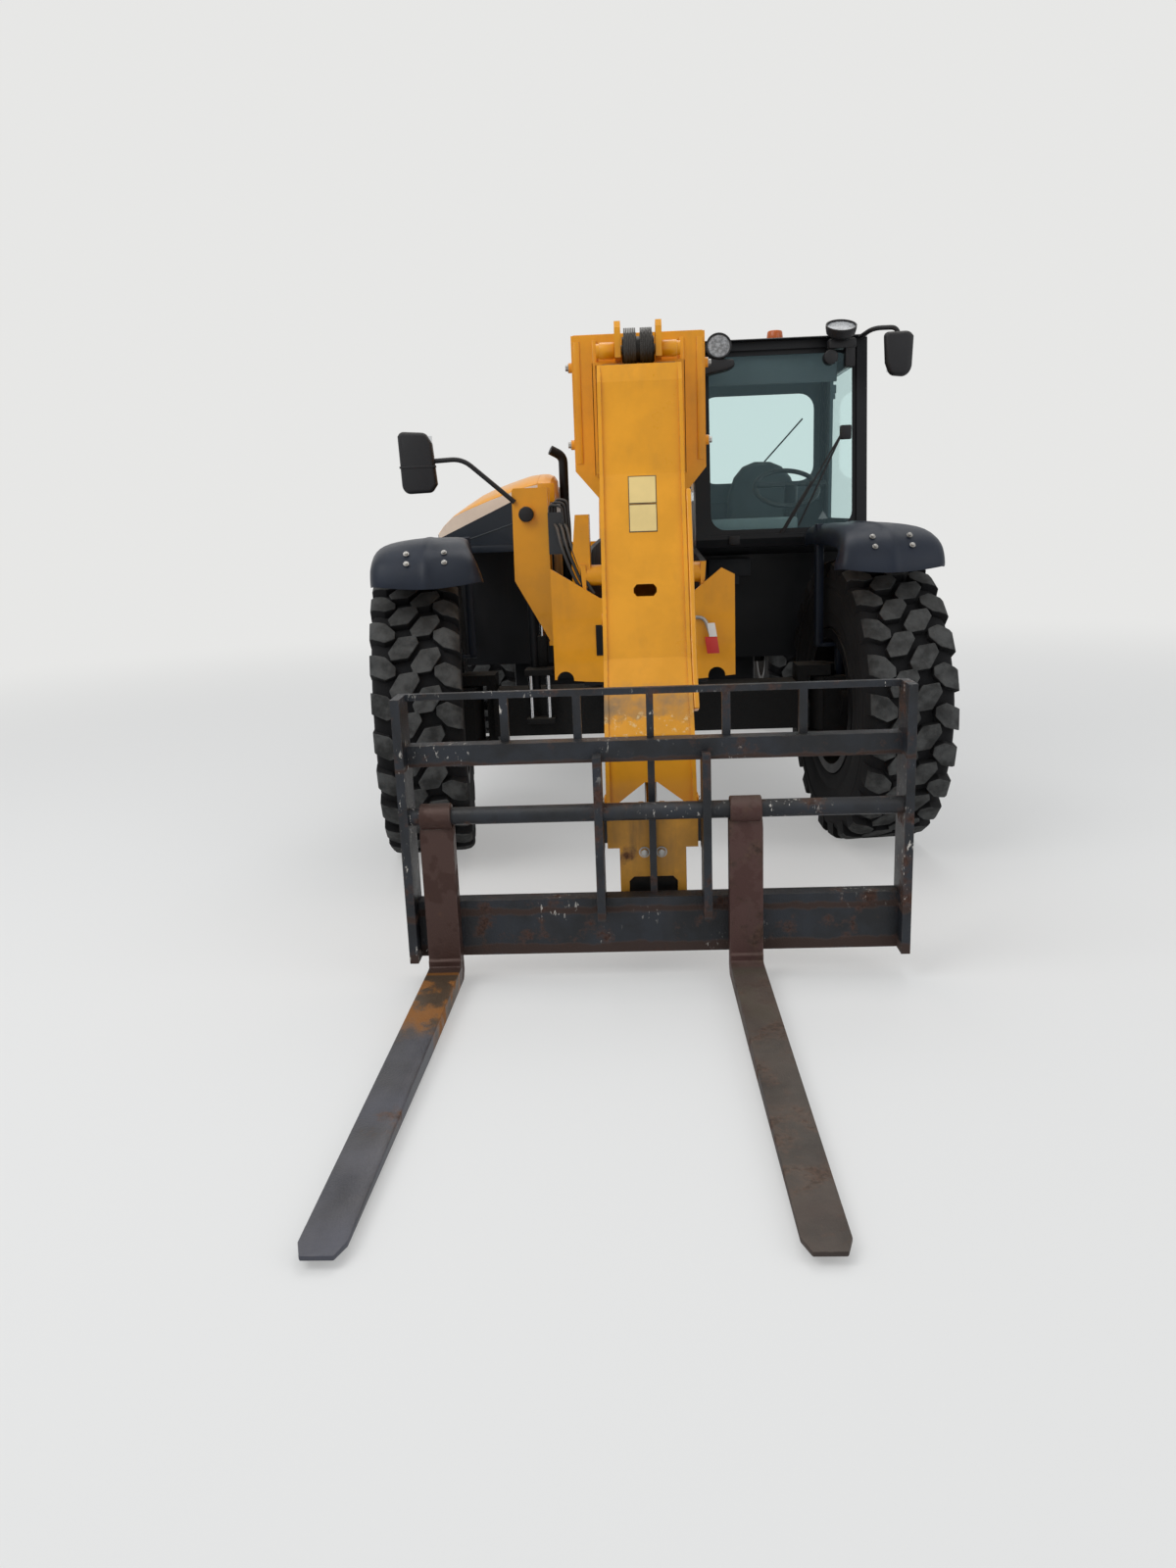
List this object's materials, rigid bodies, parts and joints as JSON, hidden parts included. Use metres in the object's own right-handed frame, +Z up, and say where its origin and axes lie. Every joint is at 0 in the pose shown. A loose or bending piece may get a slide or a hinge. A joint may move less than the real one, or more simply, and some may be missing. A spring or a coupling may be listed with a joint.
{
  "type": "telescopic handler",
  "caption": "Rough-terrain telescopic handler with pallet forks, an offset cab, a side engine pod and a telescoping boom with a drop nose",
  "frame": {"origin": "On the ground, under the middle of the overall box", "axes": "Forks point along -Y, the machine's left side is +X and up is +Z"},
  "size_m": [2.658, 7.36, 2.4668],
  "materials": {
    "yellow_paint": "satin",
    "dark_paint": "satin",
    "rim_paint": "satin",
    "tyre": "matte",
    "fender_plastic": "matte",
    "black_plastic": "matte",
    "lamp_plastic": "gloss",
    "clear_glass": "gloss",
    "ram_chrome": "polished",
    "worn_steel": "worn",
    "rusty_steel": "worn",
    "cast_axle": "rough",
    "seat_fabric": "matte"
  },
  "bodies": {
    "machine": {"chassis_frame": "yellow_paint", "front_apron": "yellow_paint", "levelling_tower": "yellow_paint", "levelling_ram": "dark_paint", "counterweight": "yellow_paint", "front_axle": "cast_axle", "rear_axle": "cast_axle", "engine_block": "dark_paint", "engine_pod": "yellow_paint", "hydraulic_tank": "dark_paint", "exhaust_pipe": "dark_paint", "cab_shell": "yellow_paint", "cab_roof": "yellow_paint", "cab_glass": "clear_glass", "seat": "seat_fabric", "steering_column": "black_plastic", "roof_lamps": "lamp_plastic", "mirrors": "black_plastic", "cab_steps": "dark_paint", "cab_gear": "black_plastic", "engine_grille": "black_plastic", "tail_lamps": "lamp_plastic"},
    "front_left_knuckle": {"knuckle_front_left": "cast_axle", "fender_left": "fender_plastic"},
    "front_left_wheel": {"tyre_front_left": "tyre", "rim_front_left": "rim_paint"},
    "front_right_knuckle": {"knuckle_front_right": "cast_axle", "fender_right": "fender_plastic"},
    "front_right_wheel": {"tyre_front_right": "tyre", "rim_front_right": "rim_paint"},
    "front_tie": {"front_steer_rod": "ram_chrome"},
    "rear_left_knuckle": {"knuckle_rear_left": "cast_axle"},
    "rear_left_wheel": {"tyre_rear_left": "tyre", "rim_rear_left": "rim_paint"},
    "rear_right_knuckle": {"knuckle_rear_right": "cast_axle"},
    "rear_right_wheel": {"tyre_rear_right": "tyre", "rim_rear_right": "rim_paint"},
    "rear_tie": {"rear_steer_rod": "ram_chrome"},
    "outer_section": {"outer_boom": "yellow_paint"},
    "middle_section": {"middle_boom": "yellow_paint", "chain_sheave": "worn_steel"},
    "inner_section": {"inner_boom": "yellow_paint", "boom_nose": "yellow_paint", "tilt_barrel": "yellow_paint"},
    "lift_ram_barrel": {"lift_barrel": "yellow_paint"},
    "lift_ram_rod": {"lift_rod": "ram_chrome"},
    "tilt_ram_rod": {"tilt_rod": "ram_chrome"},
    "fork_carriage": {"quick_hitch": "yellow_paint", "carriage": "rusty_steel"},
    "left_fork": {"fork_left": "worn_steel"},
    "right_fork": {"fork_right": "rusty_steel"},
    "door": {"cab_door": "yellow_paint", "door_glass": "clear_glass"},
    "hood": {"engine_cover": "yellow_paint"}
  },
  "joints": [
    {"name": "front_left_steer", "type": "hinge", "parent": "machine", "child": "front_left_knuckle", "pos_m": [0.847, -0.42, 0.665], "axis": [0, 0, 1], "range_deg": [-42, 28]},
    {"name": "front_left_roll", "type": "hinge", "parent": "front_left_knuckle", "child": "front_left_wheel", "pos_m": [1.05543, -0.39441, 0.665], "axis": [0.9925, 0.1219, 0], "continuous": true},
    {"name": "front_right_steer", "type": "hinge", "parent": "machine", "child": "front_right_knuckle", "pos_m": [-0.847, -0.42, 0.665], "axis": [0, 0, 1], "range_deg": [-42, 28]},
    {"name": "front_right_roll", "type": "hinge", "parent": "front_right_knuckle", "child": "front_right_wheel", "pos_m": [-1.05543, -0.44559, 0.665], "axis": [0.9925, 0.1219, 0], "continuous": true},
    {"name": "front_tie_slide", "type": "slide", "parent": "machine", "child": "front_tie", "axis": [1, 0, 0], "range_m": [-0.0811, 0.1215]},
    {"name": "rear_left_steer", "type": "hinge", "parent": "machine", "child": "rear_left_knuckle", "pos_m": [0.847, 2.53, 0.665], "axis": [0, 0, 1], "range_deg": [-35, 35]},
    {"name": "rear_left_roll", "type": "hinge", "parent": "rear_left_knuckle", "child": "rear_left_wheel", "pos_m": [1.057, 2.53, 0.665], "axis": [1, 0, 0], "continuous": true},
    {"name": "rear_right_steer", "type": "hinge", "parent": "machine", "child": "rear_right_knuckle", "pos_m": [-0.847, 2.53, 0.665], "axis": [0, 0, 1], "range_deg": [-35, 35]},
    {"name": "rear_right_roll", "type": "hinge", "parent": "rear_right_knuckle", "child": "rear_right_wheel", "pos_m": [-1.057, 2.53, 0.665], "axis": [1, 0, 0], "continuous": true},
    {"name": "rear_tie_slide", "type": "slide", "parent": "machine", "child": "rear_tie", "axis": [1, 0, 0], "range_m": [-0.1013, 0.1013]},
    {"name": "boom_lift", "type": "hinge", "parent": "machine", "child": "outer_section", "pos_m": [0, 3.33, 1.9], "axis": [-1, 0, 0], "range_deg": [0, 68]},
    {"name": "boom_extend", "type": "slide", "parent": "outer_section", "child": "middle_section", "axis": [0, -1, 0], "range_m": [0, 3.2]},
    {"name": "inner_extend", "type": "slide", "parent": "middle_section", "child": "inner_section", "axis": [0, -1, 0], "range_m": [0, 3.2]},
    {"name": "lift_ram_swing", "type": "hinge", "parent": "machine", "child": "lift_ram_barrel", "pos_m": [0, 3.08, 0.95], "axis": [-1, 0, 0], "range_deg": [0, 50.53]},
    {"name": "lift_ram_stroke", "type": "slide", "parent": "lift_ram_barrel", "child": "lift_ram_rod", "axis": [0, -0.9106, 0.4133], "range_m": [0, 0.9623]},
    {"name": "fork_tilt", "type": "hinge", "parent": "inner_section", "child": "fork_carriage", "pos_m": [0, -1.87, 0.52], "axis": [-1, 0, 0], "range_deg": [-75, 18]},
    {"name": "tilt_ram_stroke", "type": "slide", "parent": "inner_section", "child": "tilt_ram_rod", "axis": [0, -0.4458, -0.8951], "range_m": [-0.1417, 0.0344]},
    {"name": "left_fork_slide", "type": "slide", "parent": "fork_carriage", "child": "left_fork", "axis": [1, 0, 0], "range_m": [-0.05, 0.45]},
    {"name": "right_fork_slide", "type": "slide", "parent": "fork_carriage", "child": "right_fork", "axis": [1, 0, 0], "range_m": [-0.02, 0.45]},
    {"name": "cab_door_swing", "type": "hinge", "parent": "machine", "child": "door", "pos_m": [1.132, 1.062, 1.5], "axis": [0, 0, 1], "range_deg": [0, 90]},
    {"name": "engine_cover_lift", "type": "hinge", "parent": "machine", "child": "hood", "pos_m": [-0.455, 1, 1.738], "axis": [0, 1, 0], "range_deg": [0, 60]}
  ],
  "couplings": [
    {"joint": "front_right_steer", "follows": "front_left_steer", "ratio": 1},
    {"joint": "front_tie_slide", "follows": "front_left_steer", "m_per_rad": -0.165},
    {"joint": "rear_right_steer", "follows": "rear_left_steer", "ratio": 1},
    {"joint": "rear_tie_slide", "follows": "rear_left_steer", "m_per_rad": 0.165},
    {"joint": "inner_extend", "follows": "boom_extend", "ratio": 1},
    {"joint": "lift_ram_swing", "follows": "boom_lift", "ratio": 0.7416},
    {"joint": "lift_ram_stroke", "follows": "boom_lift", "m_per_rad": 0.81},
    {"joint": "tilt_ram_stroke", "follows": "fork_tilt", "m_per_rad": 0.1079}
  ]
}
